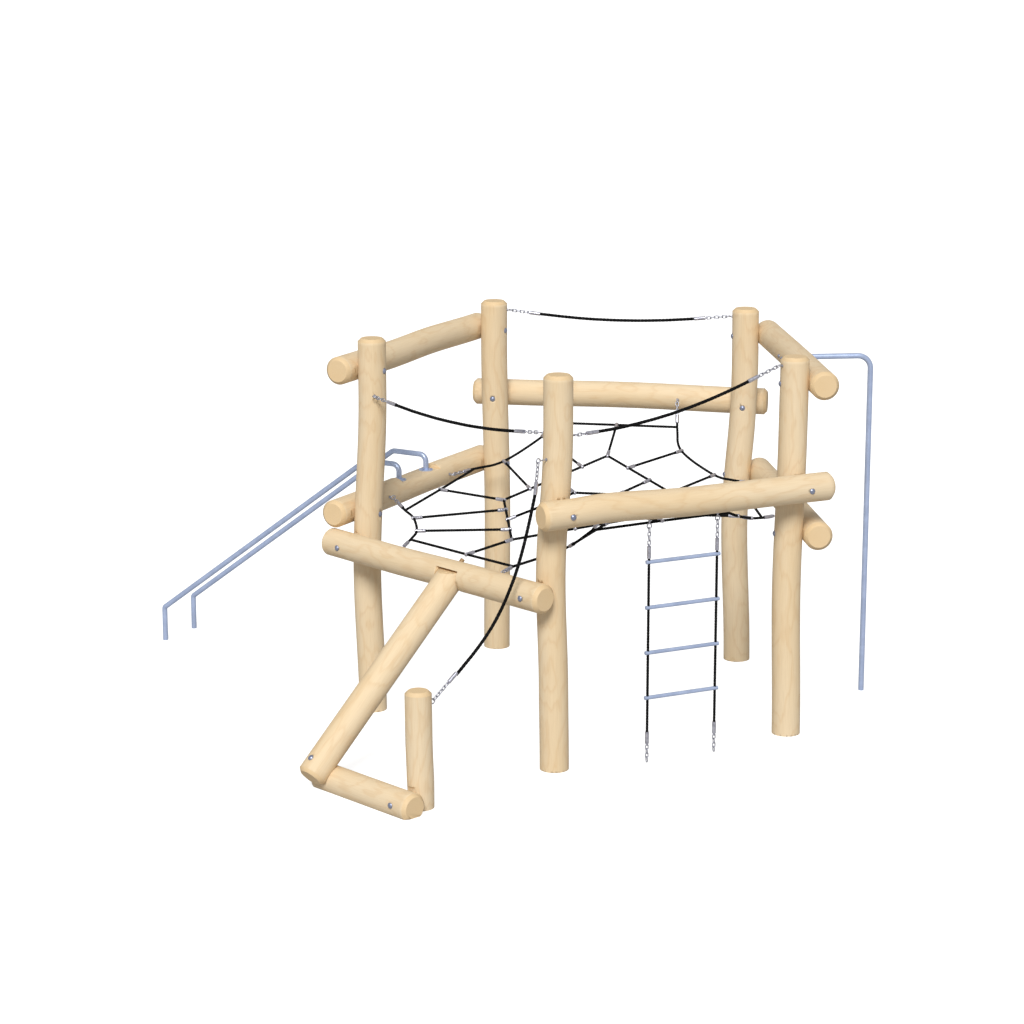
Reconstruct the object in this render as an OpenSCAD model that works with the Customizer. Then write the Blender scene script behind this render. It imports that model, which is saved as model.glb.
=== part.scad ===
// Log climbing tower: five round-wood posts on a pentagon, joined by side rails that carry
// hanging ropes, a climbing net, a rope ladder, slide bars and a fireman's pole.

/* [Posts] */
// Radius of the ring of posts, from the centre to a post's axis
ring_r = 1490; // [1240:10:1800]
// Height of the tall posts above the ground
post_h = 2575; // [2480:5:3100]
// Diameter of the posts, rails and the two low logs
log_d = 190; // [155:1:230]
// Chamfer at the ends of every log
log_chamfer = 22; // [10:1:30]
// Height of the short rope post above the ground
short_post_h = 752; // [700:1:910]
// Diameter of the short rope post
short_post_d = 170; // [140:1:205]

/* [Rails] */
// Axis height of the two high side rails
high_rail_z = 2366; // [2250:1:2400]
// Axis height of the left rail that carries the slide bars
slide_rail_z = 1382; // [1300:1:1500]
// Axis height of the back rail
back_rail_z = 1870; // [1750:1:2000]
// Axis height of the right rail under the pole side
low_right_rail_z = 1372; // [1300:1:1500]
// Axis height of the front right rail that carries the ladder
ladder_rail_z = 1716; // [1650:1:1900]
// Axis height of the front left rail that carries the balance log
front_left_rail_z = 1182; // [1100:1:1300]
// Depth of the flats where a rail bears on a post
seat_flat = 6; // [3:0.5:9]

/* [Bolts] */
// Diameter of the through bolts
bolt_d = 16; // [12:0.5:20]
// Diameter of the domed heads and cap nuts
head_d = 38; // [32:1:46]
// Clearance between a bolt and its bore
bolt_gap = 1; // [0.4:0.1:2]

/* [Slide bars and pole] */
// Outside diameter of the steel tubes
tube_d = 38; // [31:1:46]
// Wall thickness of the steel tubes
tube_wall = 3; // [2:0.5:4]
// Distance between the two slide bars
bar_gap = 364; // [300:1:440]
// Reach of the slide bars from the line of the posts
bar_reach = 2224; // [1850:1:2670]
// Reach of the pole from the line of the posts
pole_reach = 708; // [600:1:850]
// Distance between the two bolts of the pole flange
pole_bolt_gap = 94; // [80:1:110]

/* [Balance log] */
// Rise of the balance log above level, in degrees
balance_angle = 42; // [36:1:48]
// Place of the balance log along its rail, from the middle of the side
balance_t = 188; // [120:1:240]
// Width of the pocket that houses the balance log, beyond its diameter
pocket_gap = 10; // [4:1:16]

/* [Ladder] */
// Distance between rungs
rung_gap = 300; // [250:1:345]
// Diameter of a rung
rung_d = 26; // [22:1:31]
// Diameter of the ladder and net ropes
rope_d = 17; // [14:0.5:20]
// Distance between the ladder's two ropes
ladder_w = 495; // [410:1:594]

/* [Rope fittings] */
// Diameter of the hanging ropes
swag_d = 22; // [18:0.5:24]
// Diameter of the ferrules
ferrule_d = 26; // [24.5:0.5:31]
// Length of the ferrules on the hanging ropes and the ladder
ferrule_l = 78; // [65:1:94]
// Length of the ferrules and connectors on the net
net_ferrule_l = 60; // [50:1:72]
// Wire thickness of the chain links
link_wire = 7; // [6:0.1:8]
// Radius of the eyebolt's ring, to the middle of its wire
eye_r = 16; // [15:0.5:19]

/* [Hidden] */
$fn = 48;

// Middle of the ring of posts, from the origin under the middle of the whole object
centre = [602, 306.5];
// Direction of the back right post, in degrees; the posts then follow counter-clockwise
first_angle = 43.2;
back_right = 0;
back_left = 1;
front_left = 2;
front = 3;
front_right = 4;
log_r = log_d / 2;
seat = log_d - 2 * seat_flat;
log_sides = 24;
rope_sides = 10;
// How far each natural post leans to the side: [height, lean] pairs
lean = [
  [[0, 5], [1050, -30], [2050, 27], [2575, 23]],
  [[0, -15], [1000, -9], [2300, -33], [2575, -32]],
  [[0, -10], [980, -40], [2200, 10], [2575, 8]],
  [[0, 13], [500, 7], [1300, -15], [2150, 30], [2575, 29]],
  [[0, -17], [1000, -36], [2100, -15], [2575, -12]]];
short_lean = [[0, 10], [350, -6], [752, -10]];
no_bow = [[0, 0], [1, 0]];
// How much lower than the tallest each post's top stands
post_drop = [5, 5, 0, 0, 25];
// Longest distance between the rings that shape a log
log_step = 215;

// ---- curves ----
function unit(v) = v / norm(v);
function smooth(t) = t * t * (3 - 2 * t);
function clamp01(t) = min(1, max(0, t));
function between(a, b, x) = a[1] + (b[1] - a[1]) * smooth(clamp01((x - a[0]) / (b[0] - a[0])));
// Value of a list of [place, value] pairs at x, with an easy curve between pairs
function bow(pairs, x, k = 0) = k + 2 >= len(pairs) || x <= pairs[k + 1][0]
  ? between(pairs[k], pairs[k + 1], x) : bow(pairs, x, k + 1);
function steps(a, b, step) = [for (k = [0 : ceil((b - a) / step)]) a + (b - a) * k / ceil((b - a) / step)];

// ---- places ----
function along(angle) = [cos(angle), sin(angle)];
function flat3(p, z) = [p[0], p[1], z];
function post_xy(i) = centre + ring_r * along(first_angle + 72 * i);
function post_at(i, z) = flat3(post_xy(i % 5) + [bow(lean[i % 5], z), 0], z);
// The side between post i and the next: its direction, outward normal, length and middle
function side_dir(i, z) = unit(post_at(i + 1, z) - post_at(i, z));
function side_out(i, z) = cross(side_dir(i, z), [0, 0, 1]);
function side_len(i, z) = norm(post_at(i + 1, z) - post_at(i, z));
function side_mid(i, z) = (post_at(i + 1, z) + post_at(i, z)) / 2;
// A point of side i: height z of its rail, distance out from the post line, place t, and rise
function side_pt(i, z, out, t, rise = 0) =
  side_mid(i, z) + side_out(i, z) * out + side_dir(i, z) * t + [0, 0, rise];

// ---- solids along lines ----
module frame_at(p, x, y, z) {
  multmatrix([[x[0], y[0], z[0], p[0]], [x[1], y[1], z[1], p[1]], [x[2], y[2], z[2], p[2]], [0, 0, 0, 1]])
    children();
}
// Puts +Z along v at point p
module aim(p, v) {
  turn = atan2(v[1], v[0]);
  tilt = acos(v[2] / norm(v));
  translate(p) rotate([0, tilt, turn]) children();
}
module rod(p, q, d) {
  aim(p, q - p) cylinder(h = norm(q - p), d = d);
}
// One closed tube of rings: each ring is a list of points
module skin(rings) {
  m = len(rings[0]);
  n = len(rings);
  points = [for (ring = rings) each ring];
  sides = [for (k = [0 : n - 2]) for (j = [0 : m - 1])
    [k * m + j, (k + 1) * m + j, (k + 1) * m + (j + 1) % m, k * m + (j + 1) % m]];
  first = [for (j = [0 : m - 1]) j];
  last = [for (j = [m - 1 : -1 : 0]) (n - 1) * m + j];
  polyhedron(points, concat([first], sides, [last]), convexity = 6);
}
// Ends of a log: [place, radius] pairs with a chamfer at one or both ends
function log_stations(a, b, r, low_chamfer, high_chamfer) = concat(
  low_chamfer ? [[a, r - log_chamfer]] : [],
  [for (s = steps(a + (low_chamfer ? log_chamfer : 0), b - (high_chamfer ? log_chamfer : 0), log_step)) [s, r]],
  high_chamfer ? [[b, r - log_chamfer]] : []);
module upright_log(xy, h, r, pairs) {
  skin([for (s = log_stations(0, h, r, false, true))
    [for (j = [0 : log_sides - 1]) let (a = -360 * j / log_sides)
      [xy[0] + bow(pairs, s[0]) + s[1] * cos(a), xy[1] + s[1] * sin(a), s[0]]]]);
}
// A level log from place a to b along direction d through p, bowed up by its pairs
module level_log(p, d, a, b, r, pairs = no_bow) {
  out = cross(d, [0, 0, 1]);
  skin([for (s = log_stations(a, b, r, true, true))
    [for (j = [0 : log_sides - 1]) let (g = 360 * (j + 0.5) / log_sides)
      p + d * s[0] + out * s[1] * cos(g) + [0, 0, bow(pairs, s[0]) + s[1] * sin(g)]]]);
}
// Rope through points: rings stand square to the rope
function heading(p, k) = unit(p[min(k + 1, len(p) - 1)] - p[max(k - 1, 0)]);
module rope(p, d) {
  skin([for (k = [0 : len(p) - 1]) let (h = heading(p, k), u = unit(cross(h, [0.1, 0.2, 1])), w = cross(h, u))
    [for (j = [0 : rope_sides - 1]) let (a = -360 * j / rope_sides) p[k] + (u * cos(a) + w * sin(a)) * d / 2]]);
}

// Closed loop of rope through corner points, mitred at each corner
module rope_loop(p, d) {
  n = len(p);
  rings = [for (k = [0 : n - 1]) let (a = unit(p[k] - p[(k + n - 1) % n]), b = unit(p[(k + 1) % n] - p[k]),
      h = unit(a + b), w = unit(cross([0, 0, 1], h)), u = cross(h, w))
    [for (j = [0 : rope_sides - 1]) let (g = 360 * j / rope_sides)
      p[k] + (w * cos(g) / (a * h) + u * sin(g)) * d / 2]];
  polyhedron([for (ring = rings) each ring], [for (k = [0 : n - 1]) for (j = [0 : rope_sides - 1])
    let (next = (k + 1) % n, up = (j + 1) % rope_sides)
    [k * rope_sides + j, k * rope_sides + up, next * rope_sides + up, next * rope_sides + j]], convexity = 6);
}

// ---- rails and their bolts ----
// Each rail: side, axis height, length past the first and second post, bow along the span
rail_left_high_at = [back_left, high_rail_z - 6, 110, 157, [[0, 0], [600, 8], [1200, -6], [1750, 0]]];
rail_slide_at = [back_left, slide_rail_z, 110, 166, [[0, 0], [700, 5], [1300, -5], [1750, 0]]];
rail_back_at = [back_right, back_rail_z, 150, 185, [[0, 0], [850, 12], [1750, 0]]];
rail_right_high_at = [front_right, high_rail_z + 6, 130, 120, [[0, 0], [900, 4], [1750, 0]]];
rail_right_low_at = [front_right, low_right_rail_z, 130, 120, no_bow];
rail_ladder_at = [front, ladder_rail_z, 183, 186, [[0, 3], [250, 16], [900, -6], [1500, -4], [1750, -6]]];
rail_front_left_at = [front_left, front_left_rail_z, 178, 133, [[0, 0], [500, -5], [1200, 3], [1750, 0]]];
RAILS = [rail_left_high_at, rail_slide_at, rail_back_at, rail_right_high_at, rail_right_low_at,
  rail_ladder_at, rail_front_left_at];
head_h = 13;
spot_depth = 3;
spot_gap = 1;
thread_in_nut = 8;
nut_gap = 0.2;
bolt_bore = bolt_d + bolt_gap;
seat_cut_half = 75;

// End k (0 or 1) of a rail: point on the post's axis
function rail_end(rail, k) =
  post_at(rail[0] + k, rail[1]) + [0, 0, bow(rail[4], k * side_len(rail[0], rail[1]))];
function rail_out(rail) = side_out(rail[0], rail[1]);
function rail_dir(rail) = side_dir(rail[0], rail[1]);
// Point of a rail's axis at place t from the middle of its side
function rail_axis(rail, t) = let (s = t + side_len(rail[0], rail[1]) / 2)
  side_pt(rail[0], rail[1], seat, t, bow(rail[4], s));

// Flat-bottomed round cut for a bolt head: starts `depth` below a log's surface
module spot_face(p, v, r, depth = spot_depth) {
  aim(p + unit(v) * (r - depth), v) cylinder(h = 40, d = head_d + 2 * spot_gap);
}
// The half space beyond a flat, as a block of the seat's height
module seat_cut(p, out, distance, along_half) {
  frame_at(p + out * distance, out, cross([0, 0, 1], out), [0, 0, 1])
    translate([0, -along_half, -seat_cut_half]) cube([60, 2 * along_half, 2 * seat_cut_half]);
}
// What a rail takes out of the post at its end k
module post_joint(rail, k) {
  p = rail_end(rail, k);
  out = rail_out(rail);
  seat_cut(p, out, log_r - seat_flat, log_r);
  aim(p - out * (log_r + 40), out) cylinder(h = 2 * log_r + 80, d = bolt_bore);
  spot_face(p, -out, log_r);
}
// What the two posts take out of a rail
module rail_joints(rail) {
  out = rail_out(rail);
  for (k = [0, 1]) {
    p = rail_end(rail, k);
    axis = p + out * seat;
    seat_cut(axis, -out, log_r - seat_flat, seat_cut_half);
    aim(p, out) cylinder(h = seat + log_r + 40, d = bolt_bore);
    spot_face(axis, out, log_r);
  }
}
module rail_body(rail) {
  start = post_at(rail[0], rail[1]) + rail_out(rail) * seat;
  level_log(start, rail_dir(rail), -rail[2], side_len(rail[0], rail[1]) + rail[3], log_r, rail[4]);
}
module plain_rail(rail) {
  difference() {
    rail_body(rail);
    rail_joints(rail);
  }
}

// Domed head: a ball's cap on a short rim
module dome(d, h) {
  rim = 3;
  rise = h - rim;
  ball = (d * d / 4 + rise * rise) / (2 * rise);
  cylinder(h = rim, d = d);
  intersection() {
    translate([0, 0, rim + rise - ball]) sphere(r = ball, $fn = 64);
    translate([0, 0, rim - 0.5]) cylinder(h = rise + 1, d = d);
  }
}
// Bolt from p along v: head under the first face, `grip` long, thread past the grip
module dome_bolt(p, v, grip, d = bolt_d, head = head_d) {
  aim(p, v) {
    cylinder(h = grip + thread_in_nut, d = d);
    mirror([0, 0, 1]) dome(head, head_h);
  }
}
// Cap nut whose face is at p, facing back along v
module cap_nut(p, v, d = bolt_d, head = head_d) {
  aim(p, v) difference() {
    dome(head, head_h);
    translate([0, 0, -1]) cylinder(h = thread_in_nut + 2, d = d + nut_gap);
  }
}
rail_grip = seat + 2 * (log_r - spot_depth);
function bolt_foot(rail, k) = rail_end(rail, k) - rail_out(rail) * (log_r - spot_depth);

// ---- posts ----
module post(i, rails) {
  color("burlywood") difference() {
    upright_log(post_xy(i), post_h - post_drop[i], log_r, lean[i]);
    for (rail = rails) post_joint(rail, (i - rail[0] + 5) % 5);
    children();
  }
}
module post_back_right() {
  post(back_right, [rail_back_at, rail_right_high_at, rail_right_low_at]) eye_bores(back_right);
}
module post_back_left() {
  post(back_left, [rail_back_at, rail_left_high_at, rail_slide_at]) eye_bores(back_left);
}
module post_front_left() {
  post(front_left, [rail_left_high_at, rail_slide_at, rail_front_left_at]) eye_bores(front_left);
}
module post_front() {
  post(front, [rail_ladder_at, rail_front_left_at]) eye_bores(front);
}
module post_front_right() {
  post(front_right, [rail_ladder_at, rail_right_high_at, rail_right_low_at]) eye_bores(front_right);
}

// ---- low logs in front ----
// Place of the short post's foot and of the ground log, out from the side's post line
short_out = 1089;
short_t = 865;
short_r = short_post_d / 2;
ground_z = 58;
ground_from = 90;
ground_to = 985;
low_bolt_z = 72;
ground_out = short_out + short_r + log_r - 2 * seat_flat;
low_dir = side_dir(front_left, front_left_rail_z);
low_n = side_out(front_left, front_left_rail_z);
short_foot = side_pt(front_left, front_left_rail_z, short_out, short_t, -front_left_rail_z);
function short_axis(z) = short_foot + [bow(short_lean, z) - bow(short_lean, 0), 0, z];
ground_mid = side_pt(front_left, front_left_rail_z, ground_out, 0, ground_z - front_left_rail_z);
low_bolt_at = short_axis(low_bolt_z);
low_grip = short_r + ground_out - short_out + log_r - 2 * spot_depth;

module post_short() {
  color("burlywood") difference() {
    upright_log([short_foot[0] - bow(short_lean, 0), short_foot[1]], short_post_h, short_r, short_lean);
    seat_cut(short_axis(seat_cut_half), low_n, short_r - seat_flat, short_r);
    aim(low_bolt_at - low_n * (short_r + 20), low_n) cylinder(h = 2 * short_r + 60, d = bolt_bore);
    spot_face(low_bolt_at, -low_n, short_r);
    eye_bores(5);
  }
}
module ground_log() {
  color("burlywood") difference() {
    level_log(ground_mid, low_dir, ground_from, ground_to, log_r);
    translate([ground_mid[0] - 1500, ground_mid[1] - 1500, -200]) cube([3000, 3000, 200]);
    seat_cut(ground_mid + low_dir * short_t, -low_n, log_r - seat_flat, log_r);
    aim(low_bolt_at, low_n) cylinder(h = 400, d = bolt_bore);
    spot_face(low_bolt_at + low_n * (ground_out - short_out), low_n, log_r);
    coach_bore();
  }
}

// ---- balance log ----
// Its axis meets the ground log at this distance above its lower end face
balance_lap = 93;
// Distance between the axes of the balance log and the ground log, less the notch
notch_depth = 49;
cope_gap = 0.3;
balance_up = -low_n * cos(balance_angle) + [0, 0, sin(balance_angle)];
balance_top_side = low_n * sin(balance_angle) + [0, 0, cos(balance_angle)];
balance_cross = ground_mid + low_dir * balance_t + balance_top_side * (log_d - notch_depth);
balance_foot = balance_cross - balance_up * balance_lap;
// The pocket in the rail: back wall, top and the level cut on the log's end
pocket_back = seat + 15;
pocket_top = front_left_rail_z + 58;
housed_top = front_left_rail_z + 40;
pocket_w = log_d + pocket_gap;
balance_len = 2400;
coach_head_down = 3;
coach_len = log_d - coach_head_down + log_r - notch_depth + 45;
pocket_pt = side_pt(front_left, front_left_rail_z, pocket_back, balance_t);
// Point of the balance log's axis at a distance out from the post line
function balance_at_out(out) = balance_foot + balance_up
  * ((balance_foot - side_pt(front_left, front_left_rail_z, out, balance_t)) * low_n / cos(balance_angle));
peg_d = 30;
peg_gap = 0.3;
peg_in_log = 120;
peg_proud = 20;
peg_start = balance_at_out(pocket_back) - balance_up * peg_in_log;
// The peg comes out of the rail's round back: where it starts, from the rail's axis, and how far
// it then runs to the surface
peg_from = [seat - pocket_back, balance_at_out(pocket_back)[2] - front_left_rail_z];
peg_rise = peg_from[1] * sin(balance_angle) + peg_from[0] * cos(balance_angle);
peg_run = sqrt(peg_rise * peg_rise + log_r * log_r - peg_from * peg_from) - peg_rise;
peg_len = peg_in_log + peg_run + peg_proud;

module coach_bore() {
  aim(balance_cross + balance_top_side * log_r, -balance_top_side)
    cylinder(h = coach_len + 1, d = bolt_d + nut_gap);
}
module balance_log() {
  color("burlywood") difference() {
    skin([for (s = log_stations(0, balance_len, log_r, true, false))
      [for (j = [0 : log_sides - 1]) let (a = -360 * (j + 0.5) / log_sides)
        balance_foot + balance_up * s[0] + low_dir * s[1] * cos(a) + balance_top_side * s[1] * sin(a)]]);
    frame_at(pocket_pt + low_n * cope_gap, -low_n, cross([0, 0, 1], -low_n), [0, 0, 1])
      translate([0, -500, -900]) cube([1200, 1000, 2400]);
    frame_at([pocket_pt[0], pocket_pt[1], housed_top], -low_n, cross([0, 0, 1], -low_n), [0, 0, 1])
      translate([-260, -500, 0]) cube([1200, 1000, 600]);
    aim(ground_mid, low_dir) cylinder(h = ground_to + 100, r = log_r + cope_gap, $fn = 96);
    aim(peg_start - balance_up, balance_up) cylinder(h = peg_len, d = peg_d + peg_gap);
    coach_bore();
    spot_face(balance_cross, balance_top_side, log_r, coach_head_down);
  }
}
module balance_peg() {
  color("tan") aim(peg_start, balance_up) cylinder(h = peg_len, d = peg_d);
}
module coach_screw() {
  color("lightsteelblue") aim(balance_cross + balance_top_side * (log_r - coach_head_down), -balance_top_side) {
    cylinder(h = coach_len - coach_head_down, d = bolt_d);
    mirror([0, 0, 1]) dome(head_d, head_h);
  }
}

// ---- rails ----
module rail_left_high() { color("burlywood") plain_rail(rail_left_high_at); }
module rail_back() {
  color("burlywood") difference() {
    plain_rail(rail_back_at);
    net_eye_bores(back_right);
  }
}
module rail_right_low() {
  color("burlywood") difference() {
    plain_rail(rail_right_low_at);
    net_eye_bores(front_right);
  }
}
module rail_front_left() {
  color("burlywood") difference() {
    plain_rail(rail_front_left_at);
    net_eye_bores(front_left);
    frame_at([pocket_pt[0], pocket_pt[1], pocket_top], low_n, low_dir, [0, 0, -1])
      mirror([0, 1, 0]) translate([0, -pocket_w / 2, 0]) cube([200, pocket_w, 400]);
    aim(peg_start, balance_up) cylinder(h = peg_len + 60, d = peg_d + peg_gap);
  }
}

// ---- slide bars ----
saddle_rise = 63;
saddle_from = -260;
saddle_to = 240;
plate_h = 6;
plate_d = 100;
plate_screw_r = 36;
plate_screw_d = 8;
plate_screw_head = 13;
plate_screw_head_h = 5;
bar_places = [-bar_gap / 2, bar_gap / 2];
plate_screw_l = 45;
plate_screw_gap = 0.4;
bar_foot_out = seat + 4;
bar_top_z = 1555;
bar_turn_out = 454;
bar_knee_z = 250;
foot_bend = 50;
turn_bend = 60;
knee_bend = 24;
saddle_z = slide_rail_z + saddle_rise;
function bar_base(t) = side_pt(back_left, slide_rail_z, 0, t, -slide_rail_z);

module rail_slide() {
  color("burlywood") difference() {
    plain_rail(rail_slide_at);
    net_eye_bores(back_left);
    frame_at(side_pt(back_left, slide_rail_z, seat, 0, saddle_rise), side_out(back_left, slide_rail_z),
      -side_dir(back_left, slide_rail_z), [0, 0, 1])
      translate([-150, -saddle_to, 0]) cube([300, saddle_to - saddle_from, 120]);
    for (t = bar_places) screw_holes(t, plate_screw_l + 1, 1, plate_screw_d);
  }
}
// Signed turn at corner k of a flat path
function turn_at(p, k) = let (a = p[k] - p[k - 1], b = p[k + 1] - p[k])
  atan2(a[0] * b[1] - a[1] * b[0], a * b);
function trim(p, r, k) = k <= 0 || k >= len(p) - 1 ? 0 : r[k] * tan(abs(turn_at(p, k)) / 2);
module ring_section(d, wall) {
  difference() {
    circle(d = d);
    circle(d = d - 2 * wall);
  }
}
// Bent tube along a flat path of [out, height] points, with a bend radius at each corner
module bent_tube(p, r, d, wall) {
  rotate([90, 0, 0]) union() {
    for (k = [0 : len(p) - 2]) {
      way = unit(p[k + 1] - p[k]);
      a = p[k] + way * trim(p, r, k);
      b = p[k + 1] - way * trim(p, r, k + 1);
      translate([a[0], a[1], 0]) rotate([0, 0, atan2(way[1], way[0])]) rotate([0, 90, 0])
        linear_extrude(norm(b - a)) ring_section(d, wall);
    }
    for (k = [1 : len(p) - 2]) {
      way = unit(p[k] - p[k - 1]);
      turn = turn_at(p, k);
      side = turn > 0 ? 1 : -1;
      start = p[k] - way * trim(p, r, k);
      hub = start + side * r[k] * [-way[1], way[0]];
      first = atan2(way[1], way[0]) - side * 90 + (turn < 0 ? turn : 0);
      translate([hub[0], hub[1], 0]) rotate([0, 0, first])
        rotate_extrude(angle = abs(turn)) translate([r[k], 0]) ring_section(d, wall);
    }
  }
}
module slide_bar(t) {
  out = side_out(back_left, slide_rail_z);
  color("lightsteelblue") translate(bar_base(t)) rotate([0, 0, atan2(out[1], out[0])])
    bent_tube([[bar_foot_out, saddle_z + plate_h], [bar_foot_out, bar_top_z], [bar_turn_out, bar_top_z],
      [bar_reach, bar_knee_z], [bar_reach, 0]], [0, foot_bend, turn_bend, knee_bend, 0], tube_d, tube_wall);
}
module slide_bar_near() { slide_bar(bar_gap / 2); }
module slide_bar_far() { slide_bar(-bar_gap / 2); }
// Middle of the foot of the bar at place t, and its screws round it
function plate_at(t) = side_pt(back_left, slide_rail_z, bar_foot_out, t, saddle_rise);
function plate_screw_at(t, k) = plate_at(t) + plate_screw_r * flat3(along(120 * k), 0);
module screw_holes(t, deep, high, d) {
  for (k = [0 : 2]) translate(plate_screw_at(t, k) - [0, 0, deep]) cylinder(h = deep + high, d = d);
}
module bar_flanges() {
  color("silver") for (t = bar_places) difference() {
    translate(plate_at(t)) cylinder(h = plate_h, d = plate_d);
    screw_holes(t, 1, plate_h + 1, plate_screw_d + plate_screw_gap);
  }
}
module bar_flange_screws() {
  color("lightsteelblue") for (t = bar_places) for (k = [0 : 2]) translate(plate_screw_at(t, k)) {
    translate([0, 0, plate_h]) dome(plate_screw_head, plate_screw_head_h);
    translate([0, 0, -plate_screw_l]) cylinder(h = plate_screw_l + plate_h, d = plate_screw_d - nut_gap);
  }
}

// ---- fireman's pole ----
pole_t = 22;
pole_bend = 90;
flange_t = 8;
flange_w = 64;
flange_len = pole_bolt_gap + 40;
flange_flat = 16;
pole_bolt_d = 12;
pole_head_d = 26;
flange_out = seat + log_r - flange_flat;
pole_z = rail_axis(rail_right_high_at, pole_t)[2];
pole_n = side_out(front_right, rail_right_high_at[1]);
pole_d = side_dir(front_right, rail_right_high_at[1]);
function pole_pt(out, along_rail = 0) =
  side_pt(front_right, rail_right_high_at[1], out, pole_t + along_rail, pole_z - rail_right_high_at[1]);
pole_grip = flange_out + flange_t - (seat - log_r + spot_depth);

module rail_right_high() {
  color("burlywood") difference() {
    plain_rail(rail_right_high_at);
    frame_at(pole_pt(flange_out), pole_n, pole_d, [0, 0, 1])
      translate([0, -flange_len / 2 - 2, -100]) cube([60, flange_len + 4, 200]);
    for (side = [-1, 1]) {
      p = pole_pt(0, side * pole_bolt_gap / 2);
      aim(p, pole_n) cylinder(h = 400, d = pole_bolt_d + bolt_gap);
      aim(pole_pt(seat - log_r + spot_depth, side * pole_bolt_gap / 2), -pole_n)
        cylinder(h = 40, d = pole_head_d + 2 * spot_gap);
    }
  }
}
module fire_pole() {
  base = side_pt(front_right, rail_right_high_at[1], 0, pole_t, -rail_right_high_at[1]);
  color("lightsteelblue") translate(base) rotate([0, 0, atan2(pole_n[1], pole_n[0])])
    bent_tube([[flange_out + flange_t, pole_z], [pole_reach, pole_z], [pole_reach, 0]],
      [0, pole_bend, 0], tube_d, tube_wall);
}
module pole_flange() {
  color("silver") difference() {
    frame_at(pole_pt(flange_out), pole_n, pole_d, [0, 0, 1])
      translate([0, -flange_len / 2, -flange_w / 2]) cube([flange_t, flange_len, flange_w]);
    for (side = [-1, 1])
      aim(pole_pt(flange_out - 1, side * pole_bolt_gap / 2), pole_n)
        cylinder(h = flange_t + 2, d = pole_bolt_d + bolt_gap);
  }
}
module pole_bolts() {
  color("lightsteelblue") for (side = [-1, 1])
    dome_bolt(pole_pt(flange_out + flange_t, side * pole_bolt_gap / 2), -pole_n, pole_grip, pole_bolt_d,
      pole_head_d);
}
module pole_cap_nuts() {
  color("lightsteelblue") for (side = [-1, 1])
    cap_nut(pole_pt(seat - log_r + spot_depth, side * pole_bolt_gap / 2), -pole_n, pole_bolt_d, pole_head_d);
}
module rail_bolts() {
  color("lightsteelblue") {
    for (rail = RAILS) for (k = [0, 1]) dome_bolt(bolt_foot(rail, k), rail_out(rail), rail_grip);
    dome_bolt(low_bolt_at - low_n * (short_r - spot_depth), low_n, low_grip);
  }
}
module rail_cap_nuts() {
  color("lightsteelblue") {
    for (rail = RAILS) for (k = [0, 1])
      cap_nut(bolt_foot(rail, k) + rail_out(rail) * rail_grip, rail_out(rail));
    cap_nut(low_bolt_at + low_n * (low_grip - short_r + spot_depth), low_n);
  }
}

// ---- chains, eyebolts and ferrules ----
// A link's middle line is two half circles joined by straights
link_half = 17.5;
link_r = 9.5;
link_gap = 0.3;
// Play of the first link in its eye, so that it can turn there
eye_link_gap = 0.8;
link_pitch = 2 * link_half - link_wire - link_gap;
eye_wire = 8;
shank_d = 10;
shank_gap = 0.3;
shank_deep = 60;
eye_stand = 30;
collar_d = 20;
collar_h = 4;
// From the eye's middle to the middle of the first link, and the bail's reach past a ferrule
first_link = eye_r - (eye_wire + link_wire) / 2 - eye_link_gap + link_half;
bail_r = 8.5;
bail_leg = 6;
bail_reach = bail_leg + bail_r;
// From an eye's middle to the face of a ferrule at the end of a chain of n links
function chain_len(n) = first_link + (n - 1) * link_pitch + link_half - link_wire - link_gap + bail_reach;
// Side direction of the eye's ring plane: the ring holds the chain's direction c
function ring_normal(shank, c) = norm(cross(shank, c)) > 0.42 ? unit(cross(shank, c))
  : unit(cross(c, unit(cross([0, 0, 1], shank))));

module half_ring(r, wire) {
  rotate_extrude(angle = 180) translate([r, 0]) circle(d = wire, $fn = 24);
}
module chain_link() {
  straight = link_half - link_r;
  for (side = [0, 180]) rotate([0, 0, side]) {
    translate([straight, 0, 0]) rotate([0, 0, -90]) half_ring(link_r, link_wire);
    translate([-straight, link_r, 0]) rotate([0, 90, 0]) cylinder(h = 2 * straight, d = link_wire, $fn = 24);
  }
}
// n links from the eye at p along c; m is the ring's normal, and links turn about in step
module chain(p, c, m, n) {
  q = cross(m, c);
  for (k = [0 : n - 1])
    if (k % 2 == 0) frame_at(p + c * (first_link + k * link_pitch), c, m, -q) chain_link();
    else frame_at(p + c * (first_link + k * link_pitch), c, q, m) chain_link();
}
// Ferrule of length l at the end of the same chain, with its bail
module ferrule(p, c, m, n, l) {
  q = cross(m, c);
  face = p + c * chain_len(n);
  y = n % 2 == 0 ? m : q;
  frame_at(face, c, y, cross(c, y)) {
    rotate([0, 90, 0]) cylinder(h = l, d = ferrule_d);
    translate([-bail_leg, 0, 0]) rotate([0, 0, 90]) half_ring(bail_r, link_wire);
    for (side = [-1, 1]) translate([-bail_leg, side * bail_r, 0]) rotate([0, 90, 0])
      cylinder(h = bail_leg + 4, d = link_wire, $fn = 24);
  }
}
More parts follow.
